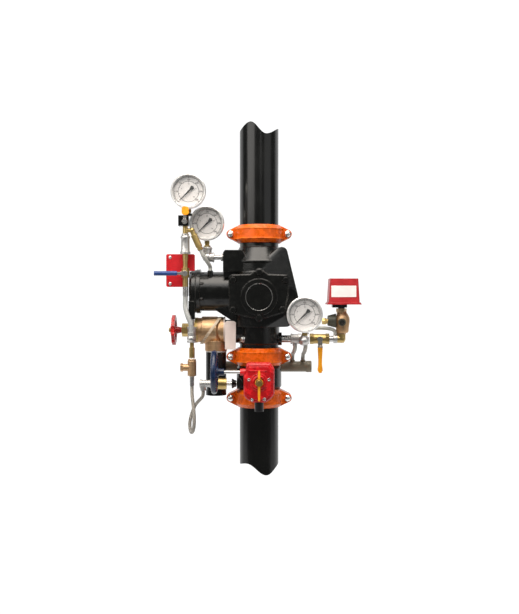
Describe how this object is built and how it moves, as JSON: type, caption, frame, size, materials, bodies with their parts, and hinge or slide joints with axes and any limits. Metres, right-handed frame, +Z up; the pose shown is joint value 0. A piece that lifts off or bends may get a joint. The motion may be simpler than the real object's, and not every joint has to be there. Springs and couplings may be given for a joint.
{
  "type": "deluge valve",
  "caption": "Grooved deluge valve riser with butterfly control valve, orange couplings, main drain, push rod chamber, gauges, alarm trim and pressure switch.",
  "frame": {"origin": "on the riser axis, at the height where the lower pipe end becomes fully round", "axes": "+Z up the riser towards the outlet, -Y towards the viewer, X to the right"},
  "size_m": [0.5967, 0.309, 1.023],
  "materials": {
    "black_enamel": "gloss black enamel",
    "orange_enamel": "orange enamel",
    "red_enamel": "red enamel",
    "blue_enamel": "blue enamel",
    "yellow_enamel": "yellow enamel and sleeves",
    "rubber": "black rubber",
    "plated_steel": "zinc plated steel",
    "cast_iron": "cast ductile iron",
    "zinc": "hot dip galvanized",
    "brass": "cast and turned brass",
    "bronze": "cast bronze",
    "grey_pipe": "olive grey coating",
    "tag_card": "pale tag card",
    "braid": "braided cover",
    "grey_hose": "grey hose",
    "gauge_chrome": "polished case",
    "dial_white": "light dial",
    "gauge_glass": "clear lens",
    "pointer_black": "black pointer"
  },
  "bodies": {
    "riser": {"riser_lower": "black_enamel", "riser_upper": "black_enamel", "valve_body": "black_enamel", "access_cover": "black_enamel", "chamber_cover": "black_enamel", "butterfly_body": "black_enamel", "nameplate": "black_enamel", "drain_pipe": "black_enamel", "gauge_cock": "black_enamel", "housing_bolts": "black_enamel", "coupling_front_halves": "orange_enamel", "coupling_rear_halves": "orange_enamel", "gearbox_case": "red_enamel", "gearbox_cover": "red_enamel", "station_plate": "red_enamel", "switch_base": "red_enamel", "switch_cover": "red_enamel", "rubber_gaskets": "rubber", "diaphragm": "rubber", "coupling_bolts": "plated_steel", "gearbox_screws": "plated_steel", "pivot_pins": "plated_steel", "strainer_screen": "plated_steel", "steel_nipples": "plated_steel", "galvanized_fittings": "zinc", "seat_ring": "brass", "drain_bonnet": "brass", "station_valve": "brass", "alarm_valve": "brass", "brass_fittings": "brass", "drain_valve_body": "bronze", "strainer_body": "bronze", "alarm_check": "bronze", "drain_manifold": "grey_pipe", "drip_tubes": "grey_pipe", "hang_tag": "tag_card", "loop_hose": "braid", "chamber_hose": "grey_hose", "gauge_cases": "gauge_chrome", "gauge_dials": "dial_white", "gauge_lenses": "gauge_glass"},
    "clapper_unit": {"clapper": "cast_iron", "clapper_facing": "rubber"},
    "latch": {"latch_lever": "brass"},
    "rod": {"push_rod": "plated_steel"},
    "butterfly_unit": {"butterfly_disc": "cast_iron", "butterfly_stem": "plated_steel", "worm_wheel": "brass", "position_pointer": "yellow_enamel"},
    "worm_unit": {"worm_shaft": "plated_steel", "gearbox_handwheel": "blue_enamel"},
    "drain_disc_unit": {"drain_disc": "bronze"},
    "drain_stem_unit": {"drain_stem": "brass", "drain_handwheel": "red_enamel"},
    "station_lever": {"station_handle": "blue_enamel"},
    "gauge_cock_lever": {"gauge_cock_handle": "yellow_enamel"},
    "alarm_lever": {"alarm_handle": "yellow_enamel"},
    "needle_upper": {"gauge_pointer_upper": "pointer_black"},
    "needle_middle": {"gauge_pointer_middle": "pointer_black"},
    "needle_lower": {"gauge_pointer_lower": "pointer_black"}
  },
  "joints": [
    {"name": "clapper_swing", "type": "hinge", "parent": "riser", "child": "clapper_unit", "pos_m": [0.072, 0, 0.456], "axis": [0, 1, 0], "range_deg": [0, 75]},
    {"name": "latch_swing", "type": "hinge", "parent": "riser", "child": "latch", "pos_m": [-0.069, 0, 0.526], "axis": [0, 1, 0], "range_deg": [0, 25.55]},
    {"name": "push_rod_slide", "type": "slide", "parent": "riser", "child": "rod", "axis": [-1, 0, 0], "range_m": [0, 0.01601], "deforming": ["diaphragm"]},
    {"name": "butterfly_turn", "type": "hinge", "parent": "riser", "child": "butterfly_unit", "pos_m": [0, 0, 0.2491], "axis": [0, 1, 0], "range_deg": [0, 90]},
    {"name": "handwheel_turn", "type": "hinge", "parent": "riser", "child": "worm_unit", "pos_m": [0, -0.14, 0.27558], "axis": [-1, 0, 0], "range_deg": [0, 2160.1]},
    {"name": "drain_disc_slide", "type": "slide", "parent": "riser", "child": "drain_disc_unit", "axis": [-1, 0, 0], "range_m": [0, 0.014]},
    {"name": "drain_stem_turn", "type": "hinge", "parent": "drain_disc_unit", "child": "drain_stem_unit", "pos_m": [-0.251, 0, 0.387], "axis": [-1, 0, 0], "range_deg": [0, 1260.1]},
    {"name": "station_lever_turn", "type": "hinge", "parent": "riser", "child": "station_lever", "pos_m": [-0.212, -0.077, 0.552], "axis": [0, 1, 0], "range_deg": [0, 90]},
    {"name": "gauge_cock_turn", "type": "hinge", "parent": "riser", "child": "gauge_cock_lever", "pos_m": [-0.212, -0.081, 0.7], "axis": [0, -1, 0], "range_deg": [0, 90]},
    {"name": "alarm_lever_turn", "type": "hinge", "parent": "riser", "child": "alarm_lever", "pos_m": [0.1787, -0.02, 0.361], "axis": [0, -1, 0], "range_deg": [0, 90]},
    {"name": "upper_needle_turn", "type": "hinge", "parent": "riser", "child": "needle_upper", "pos_m": [-0.202, -0.073, 0.7866], "axis": [0, 1, 0], "range_deg": [0, 270]},
    {"name": "middle_needle_turn", "type": "hinge", "parent": "riser", "child": "needle_middle", "pos_m": [-0.152, -0.031, 0.699], "axis": [0, 1, 0], "range_deg": [0, 270]},
    {"name": "lower_needle_turn", "type": "hinge", "parent": "riser", "child": "needle_lower", "pos_m": [0.129, -0.104, 0.4348], "axis": [0, 1, 0], "range_deg": [0, 270]}
  ],
  "couplings": [
    {"joint": "latch_swing", "follows": "clapper_swing", "ratio": 0.34},
    {"joint": "push_rod_slide", "follows": "clapper_swing", "m_per_rad": 0.012223},
    {"joint": "handwheel_turn", "follows": "butterfly_turn", "ratio": 24},
    {"joint": "drain_stem_turn", "follows": "drain_disc_slide", "rad_per_m": 1570.8}
  ]
}
